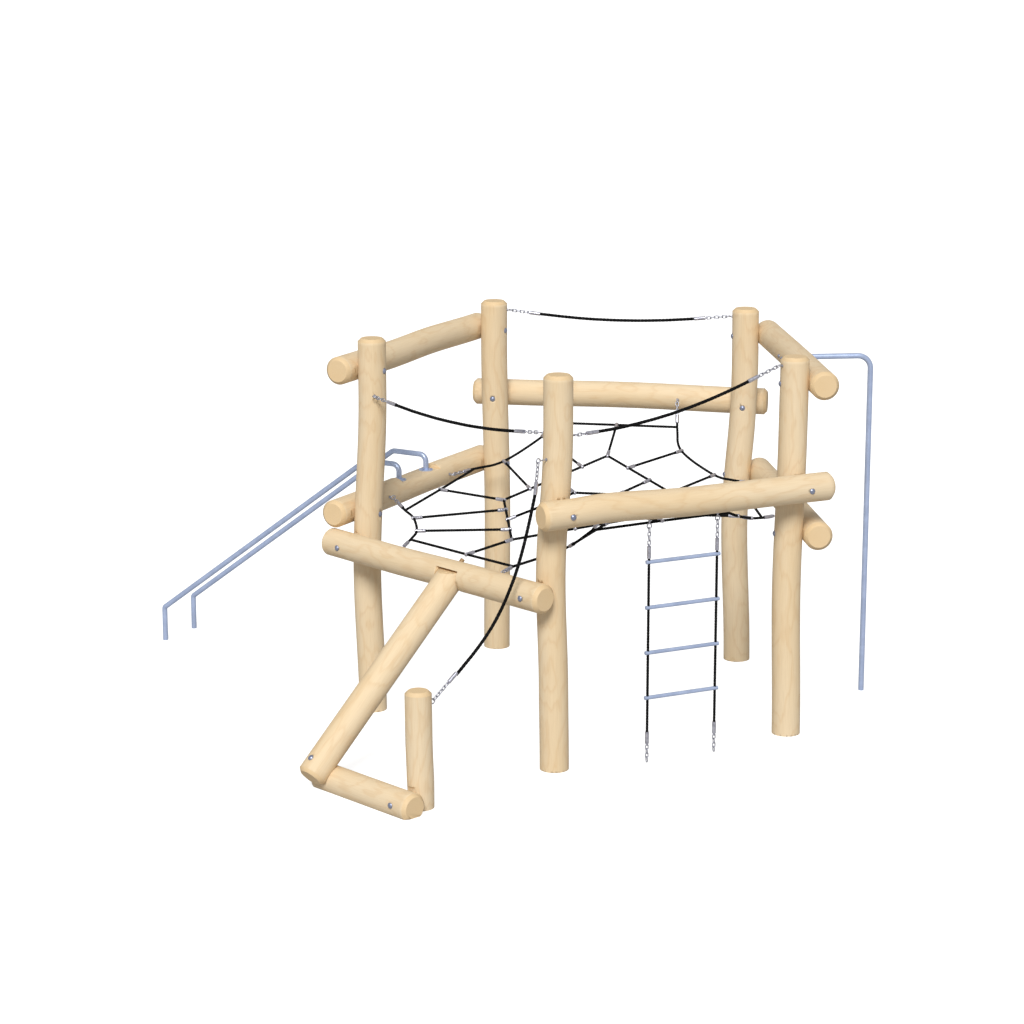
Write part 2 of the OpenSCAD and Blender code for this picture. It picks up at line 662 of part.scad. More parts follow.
// Eyebolt with its ring's middle at p, its shank going back along -shank into the wood
module eyebolt(p, shank, m, stand) {
  x = unit(cross(m, [0.3, 0.2, 0.1]));
  color("lightsteelblue") {
    frame_at(p, x, cross(m, x), m) rotate_extrude() translate([eye_r, 0]) circle(d = eye_wire, $fn = 24);
    aim(p - shank * (eye_r - 2), -shank) cylinder(h = stand - eye_r + 2 + shank_deep, d = shank_d);
    aim(p - shank * (stand - collar_h), -shank) cylinder(h = collar_h, d = collar_d);
  }
}
module shank_bore(p, shank, stand) {
  clear = 20;
  aim(p - shank * (stand - clear), -shank) cylinder(h = shank_deep + clear + 1, d = shank_d + shank_gap);
  aim(p - shank * (stand - clear), -shank) cylinder(h = clear, d = collar_d + 4);
}

// ---- hanging ropes ----
// Each end: post (5 is the short post), height, direction of the eyebolt, distance of the
// ring from the post's axis, slope of the chain in degrees, number of links
function eye_post(end) = end[0] == 5 ? short_axis(end[1]) : post_at(end[0], end[1]);
function eye_at(end) = eye_post(end) + flat3(along(end[2]) * end[3], 0);
function eye_shank(end) = flat3(along(end[2]), 0);
back_ends = [[back_left, 2505, -10.5, 125, -6, 4], [back_right, 2508, 169.5, 125, -6, 5]];
left_ends = [[front_left, 2200, -80, 125, -6.5, 4], [front, 2200, 166, 125, -6.5, 4]];
right_ends = [[front, 2178, 25.8, 125, 2.9, 2], [front_right, 2496, 205.8, 125, -20.3, 5]];
low_ends = [[front, 2047, -138.7, 165, -83.5, 4], [5, 660, 41.3, 115, 37, 5]];
SWAG_ENDS = [back_ends, left_ends, right_ends, low_ends];
// The routes: [distance from the first eye towards the second, height]
back_route = [[190, 2485], [250, 2480], [310, 2475], [370, 2470], [430, 2466], [490, 2462], [550, 2459],
  [610, 2457], [670, 2456], [730, 2455], [790, 2455], [850, 2456], [910, 2457], [970, 2459], [1030, 2462],
  [1090, 2465], [1150, 2469], [1210, 2474], [1270, 2479], [1337, 2485]];
left_route = [[190, 2178], [250, 2172], [310, 2166], [370, 2160], [430, 2156], [490, 2152], [550, 2149],
  [610, 2146], [670, 2145], [730, 2144], [790, 2144], [850, 2144], [910, 2145], [970, 2147], [1030, 2150],
  [1090, 2153], [1150, 2157], [1210, 2162], [1270, 2168], [1366, 2178]];
right_route = [[135, 2185], [195, 2188], [255, 2192], [315, 2197], [375, 2204], [435, 2211], [495, 2220],
  [555, 2229], [615, 2240], [675, 2251], [735, 2264], [795, 2278], [855, 2293], [915, 2309], [975, 2326],
  [1035, 2344], [1095, 2363], [1155, 2383], [1215, 2404], [1260, 2421]];
low_route = [[22, 1855], [30, 1820], [44, 1770], [59, 1715], [77, 1653], [97, 1588], [118, 1523],
  [142, 1457], [168, 1391], [197, 1327], [230, 1264], [265, 1202], [303, 1143], [344, 1087], [388, 1034],
  [436, 984], [487, 936], [541, 890], [597, 846], [665, 792]];

function span_dir(ends) = let (v = eye_at(ends[1]) - eye_at(ends[0])) unit([v[0], v[1], 0]);
// Direction of the chain at end k, sloping down or up from the level span
function chain_dir(ends, k) = (k == 0 ? 1 : -1) * span_dir(ends) * cos(ends[k][4]) + [0, 0, sin(ends[k][4])];
function route_points(ends, route) = let (a = eye_at(ends[0]), d = span_dir(ends))
  [for (p = route) [a[0] + d[0] * p[0], a[1] + d[1] * p[0], p[1]]];
function end_normal(ends, k) = ring_normal(eye_shank(ends[k]), chain_dir(ends, k));
function eye_stand_of(end) = end[3] - (end[0] == 5 ? short_r : log_r);

module eye_bores(i) {
  for (ends = SWAG_ENDS) for (end = ends) if (end[0] == i)
    shank_bore(eye_at(end), eye_shank(end), eye_stand_of(end));
}
module rope_eyebolts() {
  for (ends = SWAG_ENDS) for (k = [0, 1])
    eyebolt(eye_at(ends[k]), eye_shank(ends[k]), end_normal(ends, k), eye_stand_of(ends[k]));
  for (t = ladder_t) eyebolt(ladder_eye(t), [0, 0, -1], ladder_ring, ladder_stand);
}
module swag_rope(ends, route) { color([0.06, 0.06, 0.06]) rope(route_points(ends, route), swag_d); }
module swag_ferrules(ends) {
  color("lavender") for (k = [0, 1])
    ferrule(eye_at(ends[k]), chain_dir(ends, k), end_normal(ends, k), ends[k][5], ferrule_l);
}
module swag_chains(ends) {
  color("lightsteelblue") for (k = [0, 1])
    chain(eye_at(ends[k]), chain_dir(ends, k), end_normal(ends, k), ends[k][5]);
}
module back_rope() { swag_rope(back_ends, back_route); }
module back_rope_ferrules() { swag_ferrules(back_ends); }
module back_rope_chains() { swag_chains(back_ends); }
module left_rope() { swag_rope(left_ends, left_route); }
module left_rope_ferrules() { swag_ferrules(left_ends); }
module left_rope_chains() { swag_chains(left_ends); }
module right_rope() { swag_rope(right_ends, right_route); }
module right_rope_ferrules() { swag_ferrules(right_ends); }
module right_rope_chains() { swag_chains(right_ends); }
module low_rope() { swag_rope(low_ends, low_route); }
module low_rope_ferrules() { swag_ferrules(low_ends); }
module low_rope_chains() { swag_chains(low_ends); }

// ---- rope ladder ----
ladder_middle = -32;
ladder_t = [ladder_middle - ladder_w / 2, ladder_middle + ladder_w / 2];
ladder_stand = 34;
ladder_links = 4;
top_rung = 1346;
rung_count = 4;
rung_overhang = 20;
rung_bore_gap = 0.4;
rope_in_ladder_ferrule = 25;
ladder_ring = side_out(front, ladder_rail_z);
foot_links = 4;
foot_clear = 7;
// Both eyes hang at one height, below the lower of the two places on the rail
ladder_eye_z = rail_axis(rail_ladder_at, ladder_t[1])[2] - log_r - ladder_stand;
function ladder_eye(t) = let (p = rail_axis(rail_ladder_at, t)) [p[0], p[1], ladder_eye_z];
function ladder_pt(t, z) = let (p = rail_axis(rail_ladder_at, t)) [p[0], p[1], z];
ladder_top_face = ladder_eye_z - chain_len(ladder_links);
foot_face = foot_clear + (foot_links - 1) * link_pitch + 2 * link_half + bail_reach - link_gap;

module ladder_rope(t) {
  low = foot_face + ferrule_l - rope_in_ladder_ferrule;
  high = ladder_top_face - ferrule_l + rope_in_ladder_ferrule;
  color([0.06, 0.06, 0.06]) rod(ladder_pt(t, low), ladder_pt(t, high), rope_d);
}
module ladder_rope_left() { ladder_rope(ladder_t[0]); }
module ladder_rope_right() { ladder_rope(ladder_t[1]); }
module ladder_rung(k) {
  z = top_rung - k * rung_gap;
  past = side_dir(front, ladder_rail_z) * rung_overhang;
  color("lightsteelblue") difference() {
    rod(ladder_pt(ladder_t[0], z) - past, ladder_pt(ladder_t[1], z) + past, rung_d);
    for (t = ladder_t) translate(ladder_pt(t, z - rung_d)) cylinder(h = 2 * rung_d, d = rope_d + rung_bore_gap);
  }
}
module ladder_rung_1() { ladder_rung(0); }
module ladder_rung_2() { ladder_rung(1); }
module ladder_rung_3() { ladder_rung(2); }
module ladder_rung_4() { ladder_rung(3); }
function foot_eye(t) = ladder_pt(t, foot_face - chain_len(foot_links));
module ladder_ferrules() {
  color("lavender") for (t = ladder_t) {
    ferrule(ladder_eye(t), [0, 0, -1], ladder_ring, ladder_links, ferrule_l);
    ferrule(foot_eye(t), [0, 0, 1], ladder_ring, foot_links, ferrule_l);
  }
}
module ladder_chains() {
  color("lightsteelblue") for (t = ladder_t) {
    chain(ladder_eye(t), [0, 0, -1], ladder_ring, ladder_links);
    chain(foot_eye(t), [0, 0, 1], ladder_ring, foot_links);
  }
}

// ---- climbing net ----
// The rail that carries the net on each side
net_rails = [rail_back_at, rail_slide_at, rail_front_left_at, rail_ladder_at, rail_right_low_at];
// Two anchors a side: rope's fork [out, place, rise from the rail], eye [place, rise], links
anchors = [
  [[-45, -432, -165], [-417, 6], 3], [[-55, 462, -165], [447, 6], 3],
  [[17, -586, 10], [-341, 12], 4], [[-86, 545, -46], [471, 13], 2],
  [[-107, -565, 51], [-505, 8], 2], [[-76, 462, 66], [484, 49], 1],
  [[-76, -555, -190], [-500, -16], 4], [[-66, 432, -175], [400, -16], 3],
  [[-91, -462, 5], [-420, 13], 2], [[-58, 596, 15], [520, 13], 1]];
// Where the side rope meets its radial rope: [out, place, rise from the rail]
side_knots = [[-76, 0, -159], [-45, 0, -16], [-96, 0, 56], [-55, -62, -175], [-76, 0, 5]];
// Corners of the ring rope: [radius, height]
ring_knots = [[709, 1577], [678, 1346], [740, 1274], [709, 1459], [699, 1366]];
// Two knots on each corner rope: [distance inside the post, sideways, height]
corner_knots = [
  [[367, -95, 1438], [388, 205, 1567]], [[286, -215, 1613], [307, 102, 1464]],
  [[285, -79, 1315], [290, 98, 1269]], [[255, -110, 1335], [248, 70, 1418]],
  [[350, -110, 1470], [385, 186, 1387]]];
rope_in_ferrule = 20;
inner_r = 257;
inner_z = 1420;
net_eye_stand = 28;
connector_d = 30;
spoke_place = [0.25, 0.5, 0.75];

function net_pt(i, p) = side_pt(i, net_rails[i][1], p[0], p[1], p[2]);
function fork(j) = net_pt(floor(j / 2), anchors[j][0]);
function net_eye(j) = let (i = floor(j / 2), e = anchors[j][1])
  side_pt(i, net_rails[i][1], seat - log_r - net_eye_stand, e[0], e[1]);
function net_eye_dir(j) = -side_out(floor(j / 2), net_rails[floor(j / 2)][1]);
function net_chain_dir(j) = unit(fork(j) - net_eye(j));
function net_normal(j) = ring_normal(net_eye_dir(j), net_chain_dir(j));
function side_knot(i) = net_pt(i, side_knots[i]);
function ring_knot(i) = flat3(centre + ring_knots[i][0] * along(first_angle + 36 + 72 * i), ring_knots[i][1]);
function corner_knot(i, k) = let (c = corner_knots[i][k], a = first_angle + 72 * i)
  flat3(centre + (ring_r - c[0]) * along(a) + c[1] * along(a + 90), c[2]);
function ring_place(i, f) = ring_knot((i + 4) % 5) * (1 - f) + ring_knot(i) * f;
function inner_knot(i) = flat3(centre + inner_r * along(first_angle + 72 * i), inner_z);
// A smooth corner rope: a curve through the fork, two knots and the next fork
function curve_through(a, b, c, d, t) = 0.5 * (2 * b + (c - a) * t + (2 * a - 5 * b + 4 * c - d) * t * t
  + (3 * b - a - 3 * c + d) * t * t * t);
function corner_curve(i) = let (p = [fork((2 * i + 9) % 10), corner_knot(i, 0), corner_knot(i, 1), fork(2 * i)],
    q = concat([2 * p[0] - p[1]], p, [2 * p[3] - p[2]]))
  concat([for (k = [0 : 2]) for (t = [0, 1 / 3, 2 / 3])
    curve_through(q[k], q[k + 1], q[k + 2], q[k + 3], t)], [p[3]]);

module net_rod(p, q) { rod(p, q, rope_d); }
// Where the rope of anchor j starts, sunk in its ferrule
function net_start(j) =
  net_eye(j) + net_chain_dir(j) * (chain_len(anchors[j][2]) + net_ferrule_l - rope_in_ferrule);
module net_side_ropes() {
  color([0.06, 0.06, 0.06]) for (i = [0 : 4])
    rope([net_start(2 * i), fork(2 * i), side_knot(i), fork(2 * i + 1), net_start(2 * i + 1)], rope_d);
}
module net_corner_ropes() {
  color([0.06, 0.06, 0.06]) for (i = [0 : 4]) rope(corner_curve(i), rope_d);
}
module net_ring_rope() {
  color([0.06, 0.06, 0.06]) rope_loop([for (i = [0 : 4]) ring_knot(i)], rope_d);
}
module net_radial_ropes() {
  color([0.06, 0.06, 0.06]) for (i = [0 : 4]) {
    net_rod(side_knot(i), ring_knot(i));
    net_rod(corner_knot(i, 0), ring_place(i, spoke_place[0]));
    net_rod(corner_knot(i, 1), ring_place(i, spoke_place[2]));
  }
}
module net_spoke_ropes() {
  color([0.06, 0.06, 0.06]) for (i = [0 : 4]) net_rod(ring_place(i, spoke_place[1]), inner_knot(i));
}
module net_inner_ring() {
  color([0.06, 0.06, 0.06]) rope_loop([for (i = [0 : 4]) inner_knot(i)], rope_d);
}
// Connector at p: a round clamp on the rope that passes, a sleeve on the rope towards q
module connector(p, q) {
  way = unit(q - p);
  rod(p - way * connector_d / 2, p + way * connector_d / 2, connector_d);
  rod(p, p + way * net_ferrule_l, ferrule_d);
}
module both_connectors(p, q) {
  connector(p, q);
  connector(q, p);
}
module net_connectors() {
  color("lavender") for (i = [0 : 4]) {
    both_connectors(side_knot(i), ring_knot(i));
    both_connectors(corner_knot(i, 0), ring_place(i, spoke_place[0]));
    both_connectors(corner_knot(i, 1), ring_place(i, spoke_place[2]));
    both_connectors(ring_place(i, spoke_place[1]), inner_knot(i));
  }
}
module net_ferrules() {
  color("lavender") for (j = [0 : 9])
    ferrule(net_eye(j), net_chain_dir(j), net_normal(j), anchors[j][2], net_ferrule_l);
}
module net_chains() {
  color("lightsteelblue") for (j = [0 : 9]) chain(net_eye(j), net_chain_dir(j), net_normal(j), anchors[j][2]);
}
module net_eyebolts() {
  for (j = [0 : 9]) eyebolt(net_eye(j), net_eye_dir(j), net_normal(j), net_eye_stand);
}
module net_eye_bores(i) {
  for (j = [2 * i, 2 * i + 1]) shank_bore(net_eye(j), net_eye_dir(j), net_eye_stand);
}
module rail_ladder() {
  color("burlywood") difference() {
    plain_rail(rail_ladder_at);
    net_eye_bores(front);
    for (t = ladder_t) shank_bore(ladder_eye(t), [0, 0, -1], ladder_stand);
  }
}

post_front_left();
post_back_left();
post_front();
post_back_right();
post_front_right();
post_short();
rail_left_high();
rail_slide();
rail_back();
rail_right_high();
rail_right_low();
rail_ladder();
rail_front_left();
balance_log();
balance_peg();
ground_log();
rail_bolts();
rail_cap_nuts();
coach_screw();
fire_pole();
pole_flange();
pole_bolts();
pole_cap_nuts();
slide_bar_near();
slide_bar_far();
bar_flanges();
bar_flange_screws();
rope_eyebolts();
back_rope();
back_rope_ferrules();
back_rope_chains();
left_rope();
left_rope_ferrules();
left_rope_chains();
right_rope();
right_rope_ferrules();
right_rope_chains();
low_rope();
low_rope_ferrules();
low_rope_chains();
ladder_rope_left();
ladder_rope_right();
ladder_rung_1();
ladder_rung_2();
ladder_rung_3();
ladder_rung_4();
ladder_ferrules();
ladder_chains();
net_side_ropes();
net_corner_ropes();
net_ring_rope();
net_radial_ropes();
net_spoke_ropes();
net_inner_ring();
net_connectors();
net_ferrules();
net_chains();
net_eyebolts();
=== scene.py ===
import math

import bmesh
import bpy
import numpy as np
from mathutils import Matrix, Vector, noise


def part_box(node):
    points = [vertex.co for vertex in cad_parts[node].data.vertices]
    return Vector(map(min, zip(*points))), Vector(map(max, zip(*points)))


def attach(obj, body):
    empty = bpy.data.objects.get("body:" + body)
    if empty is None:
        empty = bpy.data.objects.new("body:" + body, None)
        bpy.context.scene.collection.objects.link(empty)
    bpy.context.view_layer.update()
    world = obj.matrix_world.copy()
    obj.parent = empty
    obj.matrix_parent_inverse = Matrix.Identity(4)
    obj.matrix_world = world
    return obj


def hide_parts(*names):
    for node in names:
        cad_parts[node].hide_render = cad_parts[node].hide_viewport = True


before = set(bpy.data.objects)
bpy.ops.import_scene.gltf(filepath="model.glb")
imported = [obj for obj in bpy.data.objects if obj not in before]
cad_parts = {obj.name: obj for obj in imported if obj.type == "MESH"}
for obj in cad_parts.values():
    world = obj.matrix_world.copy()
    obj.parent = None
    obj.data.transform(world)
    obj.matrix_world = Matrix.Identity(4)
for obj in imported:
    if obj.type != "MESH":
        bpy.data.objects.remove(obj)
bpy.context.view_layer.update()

# ---- camera ----
# A long lens from well back and a little above, so that the tower's far side shows over its
# near side. The camera looks straight along +Y and tips down.
camera_lens = bpy.data.cameras.new("Camera")
camera_lens.lens = 101.89
camera_lens.sensor_width = 36
camera_lens.clip_end = 300
camera = bpy.data.objects.new("Camera", camera_lens)
camera.location = (0.064, -18.8615, 5.995)
camera.rotation_euler = (math.radians(76.349), 0, 0)
bpy.context.scene.collection.objects.link(camera)
bpy.context.scene.camera = camera

# ---- hanging ropes ----
# Four six-strand play ropes in matt black yarn round a steel core, each hung between two posts.
# Every end is sunk in a pressed ferrule, which a short chain holds to an eyebolt in the post.
swag_diameter = 0.022
swag_lay = 0.15
rope_step = 0.007
strands = 6
points_per_strand = 4
strand_depth = 0.16
yarn_dark = (0.0020, 0.0020, 0.0022, 1)
yarn_worn = (0.0090, 0.0090, 0.0100, 1)
# [distance from the first eye towards the second, height], both in metres
back_eyes = ((0.0583, 1.6319), (1.5884, 1.3493))
back_route = [[0.190, 2.485], [0.250, 2.480], [0.310, 2.475], [0.370, 2.470], [0.430, 2.466],
              [0.490, 2.462], [0.550, 2.459], [0.610, 2.457], [0.670, 2.456], [0.730, 2.455],
              [0.790, 2.455], [0.850, 2.456], [0.910, 2.457], [0.970, 2.459], [1.030, 2.462],
              [1.090, 2.465], [1.150, 2.469], [1.210, 2.474], [1.270, 2.479], [1.337, 2.485]]
left_eyes = ((-0.8445, -0.0033), (0.2315, -1.1269))
left_route = [[0.190, 2.178], [0.250, 2.172], [0.310, 2.166], [0.370, 2.160], [0.430, 2.156],
              [0.490, 2.152], [0.550, 2.149], [0.610, 2.146], [0.670, 2.145], [0.730, 2.144],
              [0.790, 2.144], [0.850, 2.144], [0.910, 2.145], [0.970, 2.147], [1.030, 2.150],
              [1.090, 2.153], [1.150, 2.157], [1.210, 2.162], [1.270, 2.168], [1.366, 2.178]]
right_eyes = ((0.4653, -1.1027), (1.7829, -0.4657))
right_route = [[0.135, 2.185], [0.195, 2.188], [0.255, 2.192], [0.315, 2.197], [0.375, 2.204],
               [0.435, 2.211], [0.495, 2.220], [0.555, 2.229], [0.615, 2.240], [0.675, 2.251],
               [0.735, 2.264], [0.795, 2.278], [0.855, 2.293], [0.915, 2.309], [0.975, 2.326],
               [1.035, 2.344], [1.095, 2.363], [1.155, 2.383], [1.215, 2.404], [1.260, 2.421]]
low_eyes = ((0.2270, -1.2660), (-0.4237, -1.8206))
low_route = [[0.022, 1.855], [0.030, 1.820], [0.044, 1.770], [0.059, 1.715], [0.077, 1.653],
             [0.097, 1.588], [0.118, 1.523], [0.142, 1.457], [0.168, 1.391], [0.197, 1.327],
             [0.230, 1.264], [0.265, 1.202], [0.303, 1.143], [0.344, 1.087], [0.388, 1.034],
             [0.436, 0.984], [0.487, 0.936], [0.541, 0.890], [0.597, 0.846], [0.665, 0.792]]


def add_node(tree, kind, inputs=(), **settings):
    """A node of a tree, with its settings and with each input set or linked."""
    node = tree.nodes.new(kind)
    for name, value in settings.items():
        setattr(node, name, value)
    for name, value in dict(inputs).items():
        if isinstance(value, bpy.types.NodeSocket):
            tree.links.new(value, node.inputs[name])
        else:
            node.inputs[name].default_value = value
    return node


def new_tree(name, sizes):
    """An empty geometry tree with named sizes and a finish, and its input and output nodes."""
    tree = bpy.data.node_groups.new(name, "GeometryNodeTree")
    tree.interface.new_socket("Lines", in_out="INPUT", socket_type="NodeSocketGeometry")
    for size, value in sizes.items():
        socket = tree.interface.new_socket(size, in_out="INPUT", socket_type="NodeSocketFloat")
        socket.default_value = value
    tree.interface.new_socket("Finish", in_out="INPUT", socket_type="NodeSocketMaterial")
    tree.interface.new_socket("Made", in_out="OUTPUT", socket_type="NodeSocketGeometry")
    return tree, tree.nodes.new("NodeGroupInput"), tree.nodes.new("NodeGroupOutput")


def end_tree(tree, given, result, shape):
    """Smooths the shape, makes it real and gives it its finish."""
    smooth = add_node(tree, "GeometryNodeSetShadeSmooth", {"Geometry": shape})
    real = add_node(tree, "GeometryNodeRealizeInstances", {"Geometry": smooth.outputs[0]})
    finish = add_node(tree, "GeometryNodeSetMaterial",
                      {"Geometry": real.outputs[0], "Material": given.outputs["Finish"]})
    tree.links.new(finish.outputs[0], result.inputs["Made"])
    return tree


def laid_rope_tree():
    """Sweeps a round of strands along each line, turning once in each length of lay."""
    tree, given, result = new_tree("Laid rope", {"Diameter": swag_diameter, "Lay": swag_lay,
                                                 "Step": rope_step})
    points = strands * points_per_strand
    lines = add_node(tree, "GeometryNodeMeshToCurve", {"Mesh": given.outputs["Lines"]})
    even = add_node(tree, "GeometryNodeResampleCurve",
                    {"Curve": lines.outputs[0], "Length": given.outputs["Step"]}, mode="LENGTH")
    place = add_node(tree, "GeometryNodeSplineParameter")
    turns = add_node(tree, "ShaderNodeMath",
                     {0: place.outputs["Length"], 1: given.outputs["Lay"]}, operation="DIVIDE")
    angle = add_node(tree, "ShaderNodeMath", {0: turns.outputs[0], 1: math.tau}, operation="MULTIPLY")
    twisted = add_node(tree, "GeometryNodeSetCurveTilt",
                       {"Curve": even.outputs[0], "Tilt": angle.outputs[0]})
    ring = add_node(tree, "GeometryNodeCurvePrimitiveCircle", {"Resolution": points, "Radius": 1.0})
    index = add_node(tree, "GeometryNodeInputIndex")
    phase = add_node(tree, "ShaderNodeMath", {0: index.outputs[0], 1: math.tau / points_per_strand},
                     operation="MULTIPLY")
    wave = add_node(tree, "ShaderNodeMath", {0: phase.outputs[0]}, operation="COSINE")
    share = add_node(tree, "ShaderNodeMath",
                     {0: wave.outputs[0], 1: strand_depth / 2, 2: 1 - strand_depth / 2},
                     operation="MULTIPLY_ADD")
    radius = add_node(tree, "ShaderNodeMath", {0: share.outputs[0], 1: given.outputs["Diameter"]},
                      operation="MULTIPLY")
    half = add_node(tree, "ShaderNodeMath", {0: radius.outputs[0], 1: 0.5}, operation="MULTIPLY")
    spot = add_node(tree, "GeometryNodeInputPosition")
    moved = add_node(tree, "ShaderNodeVectorMath",
                     {0: spot.outputs[0], "Scale": half.outputs[0]}, operation="SCALE")
    outline = add_node(tree, "GeometryNodeSetPosition",
                       {"Geometry": ring.outputs[0], "Position": moved.outputs[0]})
    rope = add_node(tree, "GeometryNodeCurveToMesh",
                    {"Curve": twisted.outputs[0], "Profile Curve": outline.outputs[0],
                     "Fill Caps": True})
    return end_tree(tree, given, result, rope.outputs[0])


def line_object(lines, closed=False):
    """A mesh of bare edges that follows each line of points."""
    points, edges = [], []
    for line in lines:
        first = len(points)
        points += [tuple(p) for p in line]
        edges += [(first + k, first + k + 1) for k in range(len(line) - 1)]
        if closed:
            edges.append((len(points) - 1, first))
    mesh = bpy.data.meshes.new("lines")
    mesh.from_pydata(points, edges, [])
    lines_object = bpy.data.objects.new("lines", mesh)
    bpy.context.scene.collection.objects.link(lines_object)
    return lines_object


def plain_mesh(source, name):
    """The evaluated object as a piece of its own with a plain mesh; the source is removed."""
    depsgraph = bpy.context.evaluated_depsgraph_get()
    mesh = bpy.data.meshes.new_from_object(source.evaluated_get(depsgraph), depsgraph=depsgraph)
    mesh.name = name
    source.modifiers.clear()
    bpy.data.objects.remove(source)
    piece = bpy.data.objects.new(name, mesh)
    bpy.context.scene.collection.objects.link(piece)
    return piece


def made_along(tree, lines, name, finish, sizes=(), closed=False):
    """What a tree makes along lines, as a plain piece."""
    source = line_object(lines, closed)
    maker = source.modifiers.new("Maker", "NODES")
    maker.node_group = tree
    values = dict(sizes) | {"Finish": finish}
    for socket in tree.interface.items_tree:
        if socket.in_out == "INPUT" and socket.name in values:
            maker[socket.identifier] = values[socket.name]
    return plain_mesh(source, name)


def new_material(name, roughness, metallic=0.0):
    """A material with its tree, its shader node and Object coordinates."""
    material = bpy.data.materials.new(name)
    material.use_nodes = True
    tree = material.node_tree
    shader = tree.nodes["Principled BSDF"]
    shader.inputs["Roughness"].default_value = roughness
    shader.inputs["Metallic"].default_value = metallic
    place = tree.nodes.new("ShaderNodeTexCoord").outputs["Object"]
    return material, tree, shader, place


def noise_at(tree, vector, scale, detail=3.0):
    """Soft noise, from 0 to 1."""
    noise_node = add_node(tree, "ShaderNodeTexNoise",
                          {"Vector": vector, "Scale": scale, "Detail": detail})
    return noise_node.outputs["Fac"]


def ramp_of(tree, value, stops):
    """A colour ramp with its stops: (place, colour) pairs."""
    ramp = add_node(tree, "ShaderNodeValToRGB", {"Fac": value})
    band = ramp.color_ramp
    while len(band.elements) < len(stops):
        band.elements.new(0.5)
    for element, (place, colour) in zip(band.elements, stops):
        element.position = place
        element.color = colour
    return ramp.outputs["Color"]


def mixed(tree, share, one, two, blend="MIX"):
    """The first colour with a share of the second mixed in."""
    mix = tree.nodes.new("ShaderNodeMix")
    mix.data_type = "RGBA"
    mix.blend_type = blend
    for socket, value in ((mix.inputs[0], share), (mix.inputs[6], one), (mix.inputs[7], two)):
        if isinstance(value, bpy.types.NodeSocket):
            tree.links.new(value, socket)
        else:
            socket.default_value = value
    return mix.outputs[2]


def grey(level):
    """An opaque grey."""
    return (level, level, level, 1)


def bump_from(tree, shader, height, strength, distance):
    """Bumps the shader's surface by a height."""
    bump = add_node(tree, "ShaderNodeBump",
                    {"Height": height, "Strength": strength, "Distance": distance})
    tree.links.new(bump.outputs[0], shader.inputs["Normal"])


def black_yarn_finish():
    """Matt black yarn: fine fibres with the grey bloom of worn fuzz."""
    material, tree, shader, place = new_material("black_yarn", roughness=0.82)
    bloom = noise_at(tree, place, 45)
    fibre = noise_at(tree, place, 700, detail=4)
    tree.links.new(ramp_of(tree, bloom, [(0.35, yarn_dark), (0.75, yarn_worn)]),
                   shader.inputs["Base Color"])
    shader.inputs["Specular IOR Level"].default_value = 0.12
    bump_from(tree, shader, fibre, strength=0.5, distance=0.0006)
    return material


def route_points(eyes, route):
    """The route's points, set out on the level line from the first eye towards the second."""
    first = Vector((*eyes[0], 0))
    way = (Vector((*eyes[1], 0)) - first).normalized()
    return [first + way * distance + Vector((0, 0, height)) for distance, height in route]


black_yarn = black_yarn_finish()
laid_rope = laid_rope_tree()
for side, eyes, route, rope_length in (("back", back_eyes, back_route, 1.149),
                                       ("left", left_eyes, left_route, 1.179),
                                       ("right", right_eyes, right_route, 1.154),
                                       ("low", low_eyes, low_route, 1.276)):
    points = route_points(eyes, route)
    swag = made_along(laid_rope, [points], side + "_hanging_rope", black_yarn,
                      {"Diameter": swag_diameter, "Lay": swag_lay})
    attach(swag, side + "_swag")
    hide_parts(side + "_rope")

# ---- round logs ----
# Natural round posts and rails of peeled, dried hardwood, slightly bent, with a turned chamfer at
# each end. Rails lie on flats cut in the posts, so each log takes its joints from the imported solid.
log_sides = 56
log_step = 0.03
log_past_end = 0.02
log_share = 0.988
log_swell = 0.003
ease_over = 7
wood_pale = (0.800, 0.645, 0.435, 1)
wood_warm = (0.775, 0.600, 0.375, 1)
wood_line = (0.640, 0.400, 0.180, 1)
end_pale = (0.800, 0.610, 0.370, 1)
end_dark = (0.700, 0.480, 0.240, 1)
ring_pitch = 0.0042
ring_strength = 0.26
ring_wobble = 0.011
pith_wander = 0.030
pith_pace = 1.9
slow_grain = (14, 14, 2.2)
fine_grain = (260, 260, 7)
fibre_shade = (0.72, 0.66, 0.58, 1)
fibre_share = 0.22
end_share = 0.75
swell_pace = 2.4
grain_apart = 7.3
sharp_edge = math.radians(20)
one_face = math.radians(0.3)
same_point = 1e-5
LOGS = ["post_front_left", "post_back_left", "post_front", "post_back_right", "post_front_right",
        "post_short", "rail_left_high", "rail_slide", "rail_back", "rail_right_high",
        "rail_right_low", "rail_ladder", "rail_front_left", "balance_log", "ground_log"]


def merged(node):
    """A node's mesh with its loose triangles joined, as a bmesh."""
    shape = bmesh.new()
    shape.from_mesh(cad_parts[node].data)
    bmesh.ops.remove_doubles(shape, verts=shape.verts, dist=same_point)
    return shape


